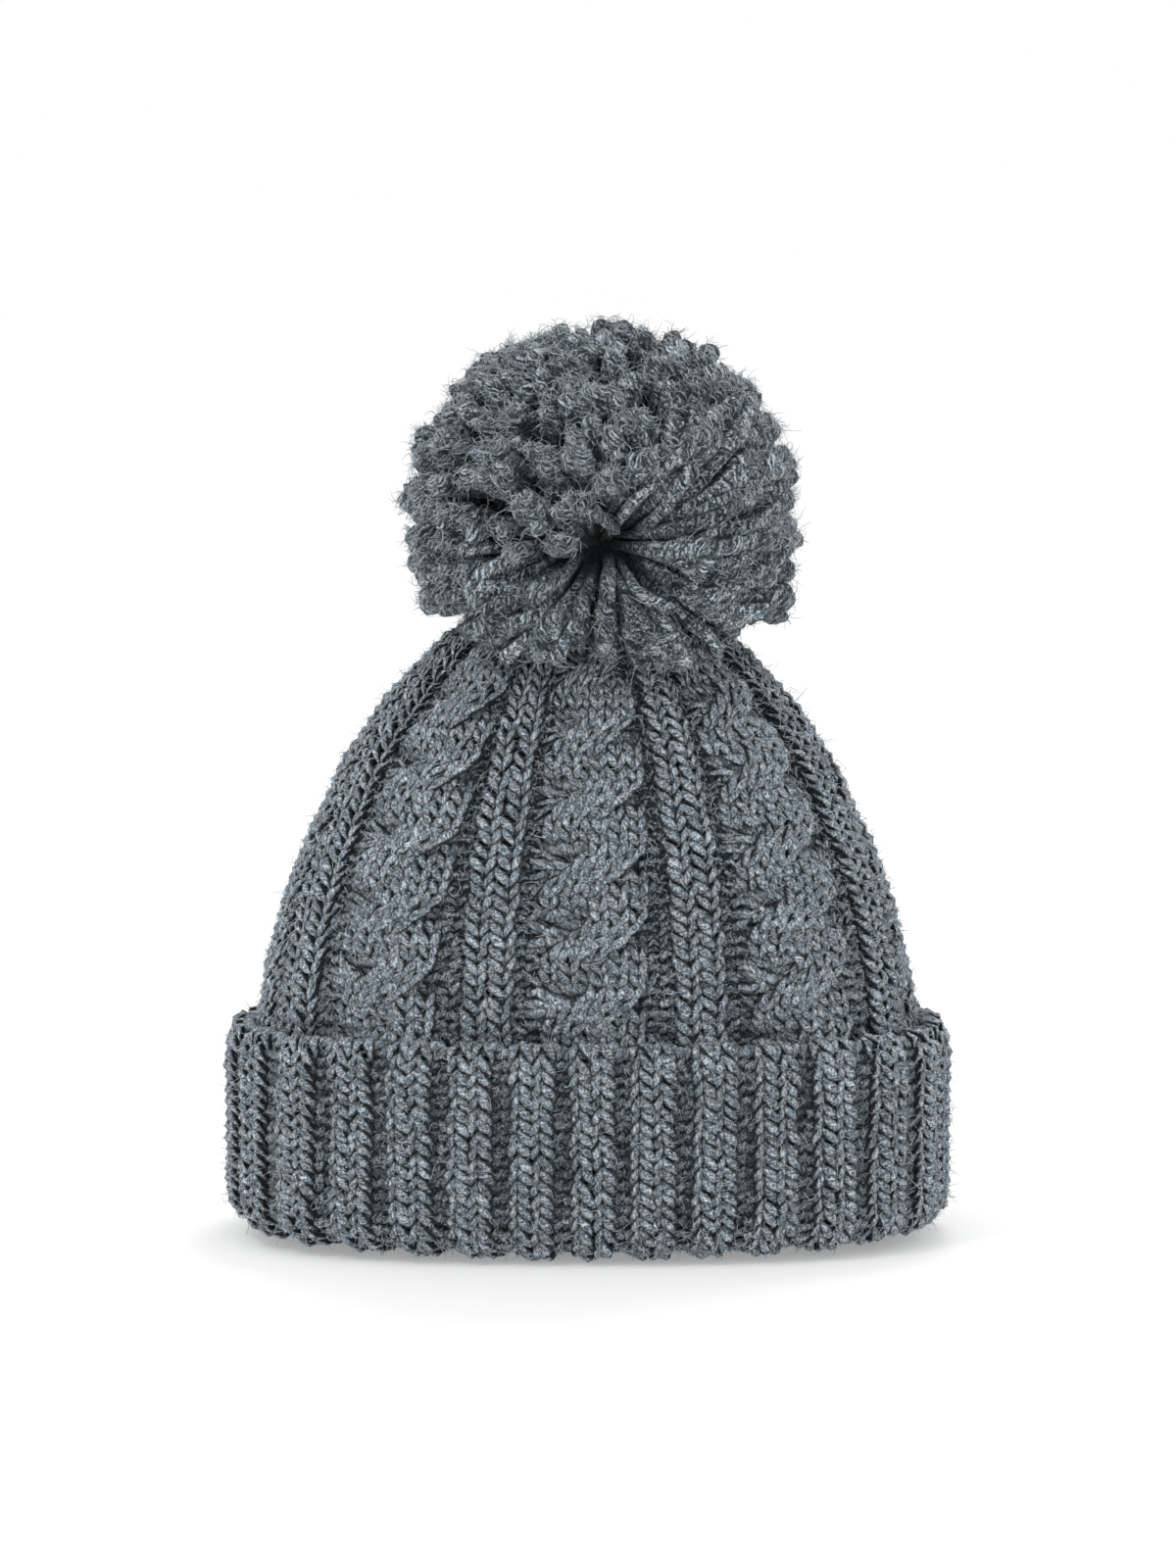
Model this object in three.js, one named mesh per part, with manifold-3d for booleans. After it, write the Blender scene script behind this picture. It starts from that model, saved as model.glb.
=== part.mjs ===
// Pom pom beanie: a knitted hat with a turned-up ribbed cuff, a cabled crown gathered at the top,
// and a yarn pompom tied on over the gather.
// Millimetres, +Z up. Origin: centre of the hat at the plane the cuff rests on. The front faces -Y.
// The hat stands on the fold of its cuff, with the head opening underneath.

import * as THREE from 'three';
import { mergeVertices } from 'three/addons/utils/BufferGeometryUtils.js';
import Module from 'manifold-3d';

// ---- driving dimensions -------------------------------------------------------------------
const SIDES = 64;               // facets around every ring of knitting
const ROUNDNESS = 2.6;          // exponent of the flattened oval section (2 = ellipse)

const CUFF_HALF_WIDTH = 104.2;  // outside of the cuff, left to right
const CUFF_HALF_DEPTH = 55.0;   // outside of the cuff, front to back
const CUFF_THICKNESS = 8.0;     // turned-up ribbing, outer layer
const CUFF_BAND_TOP = 56.8;     // top of the ribbing, under the cast-on edge
const CUFF_HEIGHT = 62.0;       // top of the cast-on edge

const CROWN_LOWER_END = 4.2;    // lower end of the inner layer, above the fold
const HOLE_RADIUS = 4.4;        // hole left in the middle of the gather
const PIVOT_Z = 184.0;          // height of the point that the pompom rocks about

const POM_RADIUS = 57.5;
const POM_CENTRE_Z = 206.3;
const POM_SIDES = 40;

const SEAM_WIDTH = 5.0;         // linked seam up the centre back
const SEAM_THICKNESS = 2.0;

const LABEL_WIDTH = 34.0;       // blank sewn-in label, inside the centre back
const LABEL_LENGTH = 45.0;
const LABEL_THICKNESS = 0.8;
const LABEL_Y = 36.3;
const LABEL_TOP_Z = 92.0;

// Crown, outside: height, half width, half depth, exponent of the section
const CROWN_OUTER = [
  [CROWN_LOWER_END, 95.2, 45.9, 2.6],
  [30, 95.3, 46.0, 2.6],
  [63, 95.3, 46.0, 2.6],
  [73, 93.7, 46.9, 2.6],
  [84, 91.4, 47.7, 2.6],
  [95.5, 88.1, 48.0, 2.6],
  [107, 84.2, 47.6, 2.6],
  [118, 79.2, 46.4, 2.55],
  [129.5, 74.0, 44.4, 2.5],
  [141, 68.2, 41.7, 2.45],
  [146.5, 65.0, 40.0, 2.4],
  [152, 61.1, 38.2, 2.35],
  [158, 56.6, 35.9, 2.3],
  [162, 52.8, 34.0, 2.25],
  [166, 48.6, 31.8, 2.2],
  [170.4, 44.2, 29.0, 2.15],
  [174.5, 38.5, 25.5, 2.1],
  [178, 30, 20.5, 2.05],
  [180.5, 20, 14.5, 2.0],
  [182, 11, 9.5, 2.0],
  [182.3, 7.5, 7.0, 2.0],
  [181.6, HOLE_RADIUS, HOLE_RADIUS, 2.0],
];
// Crown, inside, from the hole back down to the lower end
const CROWN_INNER = [
  [174.3, HOLE_RADIUS, HOLE_RADIUS, 2.0],
  [173.3, 12, 9.4, 2.0],
  [171, 22, 14.6, 2.05],
  [167.5, 32.0, 19.4, 2.1],
  [163, 40.0, 23.4, 2.15],
  [157, 47.3, 27.2, 2.25],
  [150, 53.8, 30.6, 2.3],
  [141, 60.2, 33.8, 2.4],
  [129.5, 66.6, 36.8, 2.5],
  [118, 72.2, 39.2, 2.55],
  [107, 77.5, 40.6, 2.6],
  [95.5, 81.6, 41.2, 2.6],
  [84, 84.9, 40.7, 2.6],
  [63, 88.7, 39.5, 2.6],
  [30, 88.6, 39.4, 2.6],
  [CROWN_LOWER_END, 88.6, 39.4, 2.6],
];
// Cuff band section: offset from the outside, height. The lip at the foot is the fold, and it
// runs in under the lower end of the crown's inner layer.
const CUFF_SECTION = [
  [-CUFF_THICKNESS, CUFF_BAND_TOP],
  [-0.4, CUFF_BAND_TOP],
  [0, 53],
  [0, 30],
  [0, 12],
  [-0.8, 5],
  [-2.8, 1.2],
  [-5.0, 0],
  [-14.0, 0],
  [-15.6, 1.0],
  [-16.0, 2.2],
  [-15.4, 3.4],
  [-9.0, 3.6],
  [-CUFF_THICKNESS, 5.0],
  [-CUFF_THICKNESS, 30],
];
// Cast-on edge: a soft roll that finishes the top of the cuff
const EDGE_SECTION = [
  [-CUFF_THICKNESS, 57.2],
  [-0.5, 57.2],
  [-0.5, 59.2],
  [-1.8, 61.2],
  [-4.2, CUFF_HEIGHT],
  [-6.6, 61.3],
  [-CUFF_THICKNESS, 59.4],
];

// ---- geometry helpers ---------------------------------------------------------------------
const wasm = await Module();
wasm.setup();

// Radius of a flattened oval at an angle
function ovalRadius(a, b, n, angle) {
  const c = Math.abs(Math.cos(angle)) / a;
  const s = Math.abs(Math.sin(angle)) / b;
  return Math.pow(Math.pow(c, n) + Math.pow(s, n), -1 / n);
}

function plain(geometry) {
  const g = geometry.clone();
  g.deleteAttribute('normal');
  g.deleteAttribute('uv');
  return mergeVertices(g, 1e-4);
}

function volumeOf(geometry) {
  const p = geometry.attributes.position;
  const ix = geometry.index;
  const a = new THREE.Vector3(), b = new THREE.Vector3(), c = new THREE.Vector3();
  let v = 0;
  for (let i = 0; i < ix.count; i += 3) {
    a.fromBufferAttribute(p, ix.getX(i));
    b.fromBufferAttribute(p, ix.getX(i + 1));
    c.fromBufferAttribute(p, ix.getX(i + 2));
    v += a.dot(b.cross(c)) / 6;
  }
  return v;
}

function facingOut(geometry) {
  if (volumeOf(geometry) < 0) {
    const ix = geometry.index;
    for (let i = 0; i < ix.count; i += 3) {
      const t = ix.getX(i + 1);
      ix.setX(i + 1, ix.getX(i + 2));
      ix.setX(i + 2, t);
    }
  }
  return geometry;
}

// A closed ring: every entry is one oval loop [z, half width, half depth, exponent], and the last
// loop joins back to the first.
function ovalRing(loops, sides = SIDES) {
  const pos = [];
  const index = [];
  for (const [z, a, b, n] of loops) {
    for (let j = 0; j < sides; j++) {
      const t = (2 * Math.PI * j) / sides;
      const r = ovalRadius(a, b, n, t);
      pos.push(r * Math.cos(t), r * Math.sin(t), z);
    }
  }
  for (let i = 0; i < loops.length; i++) {
    const k = (i + 1) % loops.length;
    for (let j = 0; j < sides; j++) {
      const m = (j + 1) % sides;
      const p = i * sides + j, q = i * sides + m, r = k * sides + m, s = k * sides + j;
      index.push(p, q, r, p, r, s);
    }
  }
  const g = new THREE.BufferGeometry();
  g.setAttribute('position', new THREE.Float32BufferAttribute(pos, 3));
  g.setIndex(index);
  return facingOut(g);
}

function cuffRing(section) {
  return ovalRing(section.map(([d, z]) => [z, CUFF_HALF_WIDTH + d, CUFF_HALF_DEPTH + d, ROUNDNESS]));
}

// A turned body about +Z. The profile is [radius, z] and starts and ends on the axis or is closed.
function turned(profile, sides) {
  const g = new THREE.LatheGeometry(profile.map(([r, z]) => new THREE.Vector2(r, z)), sides);
  g.rotateX(Math.PI / 2);
  return facingOut(plain(g));
}

// An outline in the Y-Z plane, extruded along X
function extrudedAlongX(outline, width) {
  const shape = new THREE.Shape(outline.map(([y, z]) => new THREE.Vector2(y, z)));
  const g = new THREE.ExtrudeGeometry(shape, { depth: width, bevelEnabled: false });
  // shape x -> Y, shape y -> Z, extrusion -> X
  const m = new THREE.Matrix4().set(0, 0, 1, -width / 2, 1, 0, 0, 0, 0, 1, 0, 0, 0, 0, 0, 1);
  g.applyMatrix4(m);
  return facingOut(plain(g));
}

function box(x0, x1, y0, y1, z0, z1) {
  const g = new THREE.BoxGeometry(x1 - x0, y1 - y0, z1 - z0);
  g.translate((x0 + x1) / 2, (y0 + y1) / 2, (z0 + z1) / 2);
  return facingOut(plain(g));
}

function solid(geometry) {
  return new wasm.Manifold(new wasm.Mesh({
    numProp: 3,
    vertProperties: new Float32Array(geometry.attributes.position.array),
    triVerts: new Uint32Array(geometry.index.array),
  }));
}

function fromSolid(body) {
  const m = body.getMesh();
  const g = new THREE.BufferGeometry();
  g.setAttribute('position', new THREE.Float32BufferAttribute(m.vertProperties, 3));
  g.setIndex(Array.from(m.triVerts));
  return g;
}

// Half depth of the crown's inside at a height
function innerDepth(z) {
  for (let i = 0; i + 1 < CROWN_INNER.length; i++) {
    const [z1, , b1] = CROWN_INNER[i];
    const [z0, , b0] = CROWN_INNER[i + 1];
    if (z <= z1 && z >= z0) return b0 + ((b1 - b0) * (z - z0)) / Math.max(z1 - z0, 1e-6);
  }
  return CROWN_INNER[CROWN_INNER.length - 1][2];
}

const hat = new THREE.Group();

function part(name, geometry, color, roughness) {
  geometry.computeVertexNormals();
  const material = new THREE.MeshStandardMaterial({ color, roughness, metalness: 0 });
  const mesh = new THREE.Mesh(geometry, material);
  mesh.name = name;
  hat.add(mesh);
  return mesh;
}

const SLATE = 0x616a6e;
const SLATE_DARK = 0x4e5559;
const LABEL_WHITE = 0xd9d7d0;

// ---- cuff ---------------------------------------------------------------------------------
// The band carries a shallow channel up the centre back for its linked seam.
const seamChannel = box(-2.2, 2.2, CUFF_HALF_DEPTH - 2.0, CUFF_HALF_DEPTH + 3, 8, 54);
part('cuff_band', fromSolid(solid(cuffRing(CUFF_SECTION)).subtract(solid(seamChannel))), SLATE, 0.95);
part('cuff_cast_on_edge', cuffRing(EDGE_SECTION), SLATE, 0.95);
part('cuff_seam', box(-1.8, 1.8, CUFF_HALF_DEPTH - 1.6, CUFF_HALF_DEPTH - 0.1, 8.4, 53.6), SLATE_DARK, 0.95);

// ---- crown --------------------------------------------------------------------------------
part('crown_knit', ovalRing([...CROWN_OUTER, ...CROWN_INNER]), SLATE, 0.95);

const seamHeights = [8, 30, 63, 84, 95.5, 107, 118, 129.5, 141, 150, 157, 161];
const seamOutline = [
  ...seamHeights.map((z) => [innerDepth(z) - 0.5, z]),
  ...seamHeights.slice().reverse().map((z) => [innerDepth(z) - 0.5 - SEAM_THICKNESS, z]),
];
part('crown_seam', extrudedAlongX(seamOutline, SEAM_WIDTH), SLATE_DARK, 0.95);

// Yarn run through the last row of stitches and drawn tight
part('crown_gather_yarn', turned([
  [7.7, 171.2], [8.2, 170.2], [9.2, 169.9], [10.2, 170.2], [10.6, 171.2], [10.2, 172.1], [9.2, 172.5],
  [8.2, 172.1], [7.7, 171.2],
], 28), SLATE_DARK, 0.95);

// ---- pompom tie ---------------------------------------------------------------------------
// Tails that come down through the gather, and the knot that holds them inside the crown
part('anchor_tie', turned([[0, 169.9], [2.3, 169.9], [2.5, 171], [2.5, 181], [2.2, 183.0], [0, 183.0]], 16), SLATE_DARK, 0.95);
part('anchor_knot', turned([
  [0, 160.8], [2.6, 161.4], [4.4, 163.2], [4.9, 165.2], [4.4, 167.4], [2.6, 169.2], [0, 169.6],
], 20), SLATE_DARK, 0.95);
// Turns of yarn at the neck, which the pompom rocks on
part('neck_wrap', turned([[0, 183.7], [2.0, 183.8], [4.0, 185.2], [4.4, 187.0], [4.0, 189.0], [2.4, 190.4], [0, 190.6]], 20), SLATE_DARK, 0.95);

// ---- pompom -------------------------------------------------------------------------------
// A ball of yarn ends, open underneath to its bound waist
const pomProfile = [];
for (let i = 0; i <= 16; i++) {
  const t = (Math.PI / 2) * (1 - i / 12);           // from the top, over the side, to below the widest
  const z = POM_CENTRE_Z + POM_RADIUS * Math.sin(t);
  const r = POM_RADIUS * Math.cos(t);
  if (z > 182.5) pomProfile.push([Math.max(r, 0), z]);
}
pomProfile.push(
  [51.6, 181.3], [50.0, 180.5], [48.0, 181.4], [45.0, 184.2], [42.0, 186.4], [30.0, 188.0], [12.0, 189.0],
  [9.0, 189.8], [9.0, 203.0], [0, 204.5],
);
part('pompom_yarn', turned(pomProfile, POM_SIDES), SLATE_DARK, 1.0);
// The tie that binds the bundle at its waist
part('pompom_waist_tie', turned([
  [3.6, 197.5], [4.2, 196.1], [5.6, 195.5], [7.0, 196.1], [7.6, 197.5], [7.0, 198.9], [5.6, 199.5],
  [4.2, 198.9], [3.6, 197.5],
], 24), SLATE_DARK, 0.95);

// ---- label --------------------------------------------------------------------------------
part('care_label', box(-LABEL_WIDTH / 2, LABEL_WIDTH / 2, LABEL_Y - LABEL_THICKNESS / 2,
  LABEL_Y + LABEL_THICKNESS / 2, LABEL_TOP_Z - LABEL_LENGTH, LABEL_TOP_Z), LABEL_WHITE, 0.7);
// Bar of stitches that holds the label's top edge to the seam
part('label_stitching', box(-LABEL_WIDTH / 2, LABEL_WIDTH / 2, LABEL_Y - 0.6, LABEL_Y + 1.6,
  LABEL_TOP_Z + 0.8, LABEL_TOP_Z + 3.4), LABEL_WHITE, 0.8);

export default hat;
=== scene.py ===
"""Pom pom beanie: yarn-level knitting, a strand pompom and its trim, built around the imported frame."""
import math
import bpy
import numpy as np
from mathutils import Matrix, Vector


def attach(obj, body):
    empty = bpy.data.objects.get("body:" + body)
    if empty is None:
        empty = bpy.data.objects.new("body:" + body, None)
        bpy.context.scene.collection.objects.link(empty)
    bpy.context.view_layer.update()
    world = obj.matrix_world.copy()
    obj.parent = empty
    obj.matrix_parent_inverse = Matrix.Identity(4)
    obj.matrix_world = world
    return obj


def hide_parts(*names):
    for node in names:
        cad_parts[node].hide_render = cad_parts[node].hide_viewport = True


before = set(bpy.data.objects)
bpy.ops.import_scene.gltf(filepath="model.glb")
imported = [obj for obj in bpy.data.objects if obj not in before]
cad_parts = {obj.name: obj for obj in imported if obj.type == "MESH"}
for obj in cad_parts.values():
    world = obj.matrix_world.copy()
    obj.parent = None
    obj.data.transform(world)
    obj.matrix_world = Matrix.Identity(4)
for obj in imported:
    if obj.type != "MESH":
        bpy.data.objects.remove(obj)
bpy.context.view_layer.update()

MM = 0.001
PI = math.pi
scene = bpy.context.scene

# ------------------------------------------------------------------ the hat's form, in mm
# height, half width, half depth, exponent of the flattened oval
CROWN = np.array([
    [4.2, 95.2, 45.9, 2.6], [30, 95.3, 46.0, 2.6], [63, 95.3, 46.0, 2.6], [73, 93.7, 46.9, 2.6],
    [84, 91.4, 47.7, 2.6], [95.5, 88.1, 48.0, 2.6], [107, 84.2, 47.6, 2.6], [118, 79.2, 46.4, 2.55],
    [129.5, 74.0, 44.4, 2.5], [141, 68.2, 41.7, 2.45], [146.5, 65.0, 40.0, 2.4], [152, 61.1, 38.2, 2.35],
    [158, 56.6, 35.9, 2.3], [162, 52.8, 34.0, 2.25], [166, 48.6, 31.8, 2.2], [170.4, 44.2, 29.0, 2.15],
    [174.5, 38.5, 25.5, 2.1], [178, 30, 20.5, 2.05], [180.5, 20, 14.5, 2.0], [182, 11, 9.5, 2.0]])
CUFF_A, CUFF_B, CUFF_N = 104.2, 55.0, 2.6
PIVOT_Z = 184.0
PHASE_MM = 1.5          # the pattern sits a touch to the viewer's right


def hermite(x, y, xq):
    """Smooth curve through a table, with finite-difference tangents."""
    x = np.asarray(x, float); y = np.asarray(y, float)
    d = np.diff(x); s = np.diff(y, axis=0) / d[:, None]
    m = np.empty_like(y)
    m[1:-1] = (s[:-1] * d[1:, None] + s[1:] * d[:-1, None]) / (d[:-1] + d[1:])[:, None]
    m[0], m[-1] = s[0], s[-1]
    i = np.clip(np.searchsorted(x, xq, side="right") - 1, 0, len(d) - 1)
    h = d[i]; t = ((xq - x[i]) / h)[:, None]; h = h[:, None]
    t2, t3 = t * t, t * t * t
    return ((2 * t3 - 3 * t2 + 1) * y[i] + (t3 - 2 * t2 + t) * h * m[i]
            + (-2 * t3 + 3 * t2) * y[i + 1] + (t3 - t2) * h * m[i + 1])


class Surface:
    """A closed-round surface. s runs along the profile in mm, uf is the share of the way round from
    the centre front towards +X. Points come back in mm."""

    def __init__(self, stations, ns=360, nu=1200):
        st = np.asarray(stations, float)
        mean = np.column_stack([(st[:, 1] + st[:, 2]) / 2, st[:, 0]])
        c = np.concatenate([[0], np.cumsum(np.linalg.norm(np.diff(mean, axis=0), axis=1))])
        self.length = c[-1]
        sq = np.linspace(0, c[-1], ns)
        q = hermite(c, st, sq)
        self.stations = q
        self.sq = sq
        ang = np.linspace(-PI / 2, 1.5 * PI, 2881)
        ca, sa = np.abs(np.cos(ang)), np.abs(np.sin(ang))
        tab = np.empty((ns, nu + 1, 3)); per = np.empty(ns)
        uq = np.linspace(0, 1, nu + 1)
        for k, (z, a, b, n) in enumerate(q):
            r = ((ca / a) ** n + (sa / b) ** n) ** (-1 / n)
            x, y = r * np.cos(ang), r * np.sin(ang)
            arc = np.concatenate([[0], np.cumsum(np.hypot(np.diff(x), np.diff(y)))])
            per[k] = arc[-1]
            f = arc / arc[-1]
            tab[k, :, 0] = np.interp(uq, f, x); tab[k, :, 1] = np.interp(uq, f, y); tab[k, :, 2] = z
        self.tab, self.per, self.nu, self.ns = tab, per, nu, ns
        du = np.empty_like(tab)
        du[:, 1:-1] = tab[:, 2:] - tab[:, :-2]
        du[:, 0] = du[:, -1] = tab[:, 1] - tab[:, -2]
        ds = np.gradient(tab, axis=0)
        n = np.cross(du, ds)
        n /= np.maximum(np.linalg.norm(n, axis=2, keepdims=True), 1e-9)
        self.nor = n

    def perimeter(self, s):
        return np.interp(s, self.sq, self.per)

    def at(self, uf, s, off):
        """Points and normals at uf, s, standing off along the normal by off mm."""
        u = (uf % 1.0) * self.nu
        v = np.clip(s / self.length, 0, 1) * (self.ns - 1)
        i = np.minimum(u.astype(int), self.nu - 1); fu = (u - i)[..., None]
        j = np.minimum(v.astype(int), self.ns - 2); fv = (v - j)[..., None]

        def mix(t):
            return (t[j, i] * (1 - fu) * (1 - fv) + t[j, i + 1] * fu * (1 - fv)
                    + t[j + 1, i] * (1 - fu) * fv + t[j + 1, i + 1] * fu * fv)
        p = mix(self.tab); n = mix(self.nor)
        n /= np.maximum(np.linalg.norm(n, axis=-1, keepdims=True), 1e-9)
        return p + n * off[..., None], n

    def s_at_z(self, z):
        return float(np.interp(z, self.stations[:, 0], self.sq))


def offset_stations(st, d):
    out = np.array(st, float); out[:, 1] += d; out[:, 2] += d
    return out


# ------------------------------------------------------------------ meshes from arrays
def make_mesh(name, verts, quads, ngons=None, attrs=None, smooth=True):
    """verts in mm. quads (n,4), ngons (m,k)."""
    me = bpy.data.meshes.new(name)
    verts = np.asarray(verts, np.float32) * MM
    me.vertices.add(len(verts)); me.vertices.foreach_set("co", verts.ravel())
    loops = [np.asarray(quads, np.int32).ravel()]
    starts = [np.arange(len(quads), dtype=np.int32) * 4]
    base = len(quads) * 4
    if ngons is not None and len(ngons):
        k = ngons.shape[1]
        loops.append(np.asarray(ngons, np.int32).ravel())
        starts.append(base + np.arange(len(ngons), dtype=np.int32) * k)
    loops = np.concatenate(loops); starts = np.concatenate(starts)
    me.loops.add(len(loops)); me.loops.foreach_set("vertex_index", loops)
    me.polygons.add(len(starts)); me.polygons.foreach_set("loop_start", starts)
    me.update(calc_edges=True)
    me.polygons.foreach_set("use_smooth", np.full(len(starts), smooth, bool))
    for key, val in (attrs or {}).items():
        val = np.asarray(val, np.float32)
        kind = "FLOAT_VECTOR" if val.ndim == 2 else "FLOAT"
        a = me.attributes.new(key, kind, "POINT")
        a.data.foreach_set("vector" if val.ndim == 2 else "value", val.ravel())
    me.update()
    ob = bpy.data.objects.new(name, me)
    scene.collection.objects.link(ob)
    return ob


def tube_arrays(paths, radii, sides, up, flat=1.0, tone=None, twist=0.9, seed=1, caps=True, nor=None, off=None, depth_shade=None, side_shade_fade=1.0):
    """Tubes along paths (S,T,3), radii (S,T), first reference direction up (S,3). flat widens the
    section across the reference. Returns verts, quads, caps, attrs."""
    S, T, _ = paths.shape
    tan = np.gradient(paths, axis=1)
    tan /= np.maximum(np.linalg.norm(tan, axis=2, keepdims=True), 1e-9)
    e1 = np.empty_like(paths)
    cur = up - (up * tan[:, 0]).sum(1, keepdims=True) * tan[:, 0]
    nrm = np.linalg.norm(cur, axis=1, keepdims=True)
    alt = np.cross(tan[:, 0], np.array([0.31, 0.72, 0.62]))
    cur = np.where(nrm > 1e-3, cur / np.maximum(nrm, 1e-9), alt / np.maximum(np.linalg.norm(alt, axis=1, keepdims=True), 1e-9))
    e1[:, 0] = cur
    for k in range(1, T):
        cur = cur - (cur * tan[:, k]).sum(1, keepdims=True) * tan[:, k]
        cur /= np.maximum(np.linalg.norm(cur, axis=1, keepdims=True), 1e-9)
        e1[:, k] = cur
    if nor is not None:
        w = nor - (nor * tan).sum(2, keepdims=True) * tan
        ln = np.linalg.norm(w, axis=2, keepdims=True)
        e1 = np.where(ln > 0.12, w / np.maximum(ln, 1e-9), e1)
    e2 = np.cross(tan, e1)
    th = np.arange(sides) * 2 * PI / sides
    c, s = np.cos(th), np.sin(th)
    ring = (e1[:, :, None, :] * c[None, None, :, None] + e2[:, :, None, :] * (s * flat)[None, None, :, None])
    v = paths[:, :, None, :] + ring * radii[:, :, None, None]
    seg = np.linalg.norm(np.diff(paths, axis=1), axis=2)
    along = np.concatenate([np.zeros((S, 1)), np.cumsum(seg, axis=1)], axis=1)
    rng = np.random.default_rng(seed)
    offs = rng.uniform(0, 400, (S, 1, 1))
    phi = th[None, None, :] + along[:, :, None] * twist
    yco = np.empty((S, T, sides, 3))
    yco[..., 0] = along[:, :, None] * 0.13 + offs
    yco[..., 1] = np.cos(phi) * 1.3 + offs * 0.37
    yco[..., 2] = np.sin(phi) * 1.3
    if tone is None:
        tone = rng.uniform(0, 1, S)
    tn = np.broadcast_to(tone[:, None, None], (S, T, sides))
    idx = (np.arange(S)[:, None, None] * (T * sides) + np.arange(T)[None, :, None] * sides + np.arange(sides)[None, None, :])
    a = idx[:, :-1, :]; b = np.roll(idx, -1, axis=2)[:, :-1, :]
    d = idx[:, 1:, :]; cc = np.roll(idx, -1, axis=2)[:, 1:, :]
    quads = np.stack([a, b, cc, d], axis=-1).reshape(-1, 4)
    ng = np.concatenate([idx[:, 0, ::-1], idx[:, -1, :]]) if caps else None
    if nor is not None:
        up_by = ((v - paths[:, :, None, :]) * nor[:, :, None, :]).sum(-1)
        # painted shade: how open a point of the yarn lies, from its stand-off, and how far round the yarn's side it
        # is; the material paints recessed points and the creases at the yarn's sides darker
        recess_shade = np.broadcast_to(np.clip(0.62 + (off[:, :, None] + 0.2) / 4.0, 0, 1), (S, T, sides))
        crest_shade = up_by / radii[:, :, None]
        # points on the inner side of the yarn get a middling painted shade
        recess_shade = np.where(crest_shade < 0.0, 0.66, recess_shade)
        crest_shade = np.abs(crest_shade)
        # towards the ends of the oval, the painted shade in creases and recesses is made fainter
        side = np.abs(nor[:, :, 0])[:, :, None] ** 4
        crest_shade = crest_shade + 0.13 * side_shade_fade * side; recess_shade = recess_shade + 0.04 * side_shade_fade * side
    elif depth_shade is not None:
        recess_shade = np.broadcast_to(depth_shade[:, :, None], (S, T, sides)); crest_shade = np.ones((S, T, sides))
    else:
        recess_shade = np.full((S, T, sides), 0.8); crest_shade = np.ones((S, T, sides))
    return v.reshape(-1, 3), quads, ng, {"yarn": yco.reshape(-1, 3), "tone": tn.reshape(-1), "depth_shade": recess_shade.reshape(-1), "crest_shade": crest_shade.reshape(-1)}


def join_arrays(parts):
    vs, qs, ns, at = [], [], [], {}
    base = 0
    for v, q, n, a in parts:
        vs.append(v); qs.append(q + base)
        if n is not None and len(n):
            ns.append(n + base)
        for k in a:
            at.setdefault(k, []).append(a[k])
        base += len(v)
    return np.concatenate(vs), np.concatenate(qs), (np.concatenate(ns) if ns else None), {k: np.concatenate(x) for k, x in at.items()}


# ------------------------------------------------------------------ stitches
def sstep(x):
    x = np.clip(x, 0, 1)
    return x * x * (3 - 2 * x)


# One knitted loop, foot to foot: x in wale widths, y in rows, z from behind (-) to in front (+), and the
# yarn's radius in mm. The yarn's twist skews the loop, so its left leg is plump and slanted and its
# right leg thin and nearly upright.
LOOP_KEYS = np.array([
    [-0.50, -0.90, -1.75, 0.78], [-0.20, -0.96, -1.75, 0.78], [0.10, -0.80, -1.00, 0.72], [0.07, -0.48, 0.30, 1.10],
    [-0.10, -0.11, 1.20, 1.46], [-0.28, 0.22, 1.20, 1.48], [-0.42, 0.54, 0.05, 1.02], [-0.34, 0.88, -1.25, 0.72],
    [-0.02, 1.00, -1.70, 0.74], [0.27, 0.92, -1.40, 0.70], [0.45, 0.60, -0.55, 0.80], [0.43, 0.26, 0.90, 1.20],
    [0.33, -0.08, 1.10, 1.26], [0.22, -0.44, -0.10, 0.92], [0.17, -0.80, -1.25, 0.68], [0.30, -0.96, -1.75, 0.76],
    [0.50, -0.90, -1.75, 0.78]])
# the same loop with its legs alike, for the cables
CABLE_KEYS = np.array([
    [-0.50, -0.90, -1.75, 0.62], [-0.22, -0.96, -1.75, 0.62], [0.03, -0.80, -1.20, 0.50], [0.00, -0.50, 0.00, 0.80],
    [-0.16, -0.12, 1.15, 1.28], [-0.31, 0.22, 1.20, 1.30], [-0.42, 0.56, 0.00, 0.90], [-0.32, 0.90, -1.25, 0.54],
    [-0.02, 1.00, -1.70, 0.60], [0.26, 0.90, -1.25, 0.54], [0.42, 0.56, -0.10, 0.88], [0.37, 0.22, 1.00, 1.22],
    [0.27, -0.12, 1.00, 1.20], [0.17, -0.50, -0.05, 0.84], [0.12, -0.80, -1.20, 0.52], [0.26, -0.96, -1.75, 0.62],
    [0.50, -0.90, -1.75, 0.62]])


def loop_path(keys=LOOP_KEYS, T=15):
    k = np.linspace(0, len(keys) - 1, T)
    q = hermite(np.arange(len(keys)), keys, k)
    return q[:, 0], q[:, 1], q[:, 2], q[:, 3]


LOOP_T = 15
rng = np.random.default_rng(7)

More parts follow.
